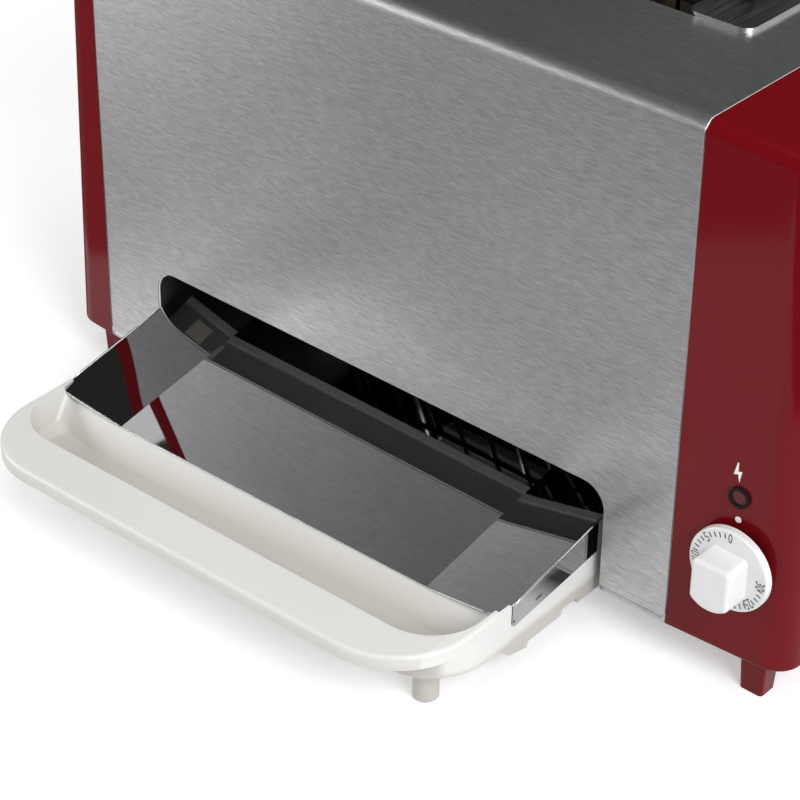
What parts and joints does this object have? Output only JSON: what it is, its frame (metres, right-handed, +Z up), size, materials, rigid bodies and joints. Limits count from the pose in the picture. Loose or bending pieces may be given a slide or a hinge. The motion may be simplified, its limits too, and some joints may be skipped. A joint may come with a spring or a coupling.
{
  "type": "electric countertop grill",
  "caption": "Upright electric grill: steel wrapper between red end caps, inner heaters, lift-out wire basket, timer dial and a pull-out drip tray with a sloping sheet.",
  "frame": {"origin": "on the table, under the middle of the box around the whole with the tray pulled out", "axes": "+X to the right seen from the front, +Y to the back, +Z up"},
  "size_m": [0.4396, 0.3378, 0.29],
  "materials": {
    "wrapper_steel": "satin, fine brushed",
    "panel_steel": "zinc plated sheet",
    "bright_sheet": "bright rolled",
    "chamber_enamel": "black heat-proof enamel",
    "guard_wire": "heat darkened",
    "polished_sheet": "polished",
    "chrome_wire": "plated wire",
    "ear_steel": "satin",
    "red_plastic": "smooth, half gloss",
    "white_plastic": "smooth, half gloss",
    "dial_plastic": "smooth, half gloss",
    "black_plastic": "fine moulded grain",
    "red_lens": "clear red",
    "lamp_glass": "clear",
    "mica": "layered mineral board",
    "ribbon_alloy": "heat tinted",
    "shaft_steel": "turned",
    "porcelain": "unglazed",
    "screw_steel": "zinc plated",
    "gland_rubber": "soft matt"
  },
  "bodies": {
    "body": {"steel_wrapper": "wrapper_steel", "rear_panel": "panel_steel", "rear_panel_screws": "screw_steel", "left_end_cap": "red_plastic", "right_end_cap": "red_plastic", "left_chassis_plate": "chamber_enamel", "right_chassis_plate": "chamber_enamel", "left_tray_guide": "chamber_enamel", "right_tray_guide": "chamber_enamel", "front_reflector": "chamber_enamel", "rear_reflector": "chamber_enamel", "front_heater_board": "mica", "rear_heater_board": "mica", "front_heater_rails": "chamber_enamel", "rear_heater_rails": "chamber_enamel", "front_heating_ribbon": "ribbon_alloy", "rear_heating_ribbon": "ribbon_alloy", "front_guard": "guard_wire", "rear_guard": "guard_wire", "timer_body": "black_plastic", "timer_nut": "screw_steel", "pilot_bezel": "black_plastic", "pilot_lens": "red_lens", "pilot_lamp": "lamp_glass", "terminal_block": "porcelain", "heat_limiter": "bright_sheet", "cord_gland": "gland_rubber", "front_left_foot": "red_plastic", "front_right_foot": "red_plastic", "rear_left_foot": "red_plastic", "rear_right_foot": "red_plastic"},
    "knob": {"timer_knob": "dial_plastic", "timer_shaft": "shaft_steel"},
    "tray": {"tray_frame": "white_plastic", "tray_pegs": "white_plastic", "drip_sheet": "polished_sheet"},
    "basket": {"basket_front_grid": "chrome_wire", "basket_rear_grid": "chrome_wire", "basket_floor_wires": "chrome_wire", "left_basket_ear": "ear_steel", "right_basket_ear": "ear_steel", "left_basket_knob": "black_plastic", "right_basket_knob": "black_plastic"}
  },
  "joints": [
    {"name": "tray_slide", "type": "slide", "parent": "body", "child": "tray", "axis": [-0.025, 0.9997, 0], "range_m": [-0.035, 0.104]},
    {"name": "timer_turn", "type": "hinge", "parent": "body", "child": "knob", "pos_m": [0.1921, -0.03764, 0.0669], "axis": [0, 1, 0], "range_deg": [0, 270]},
    {"name": "basket_lift", "type": "slide", "parent": "body", "child": "basket", "axis": [0, 0, 1], "range_m": [0, 0.15]}
  ]
}
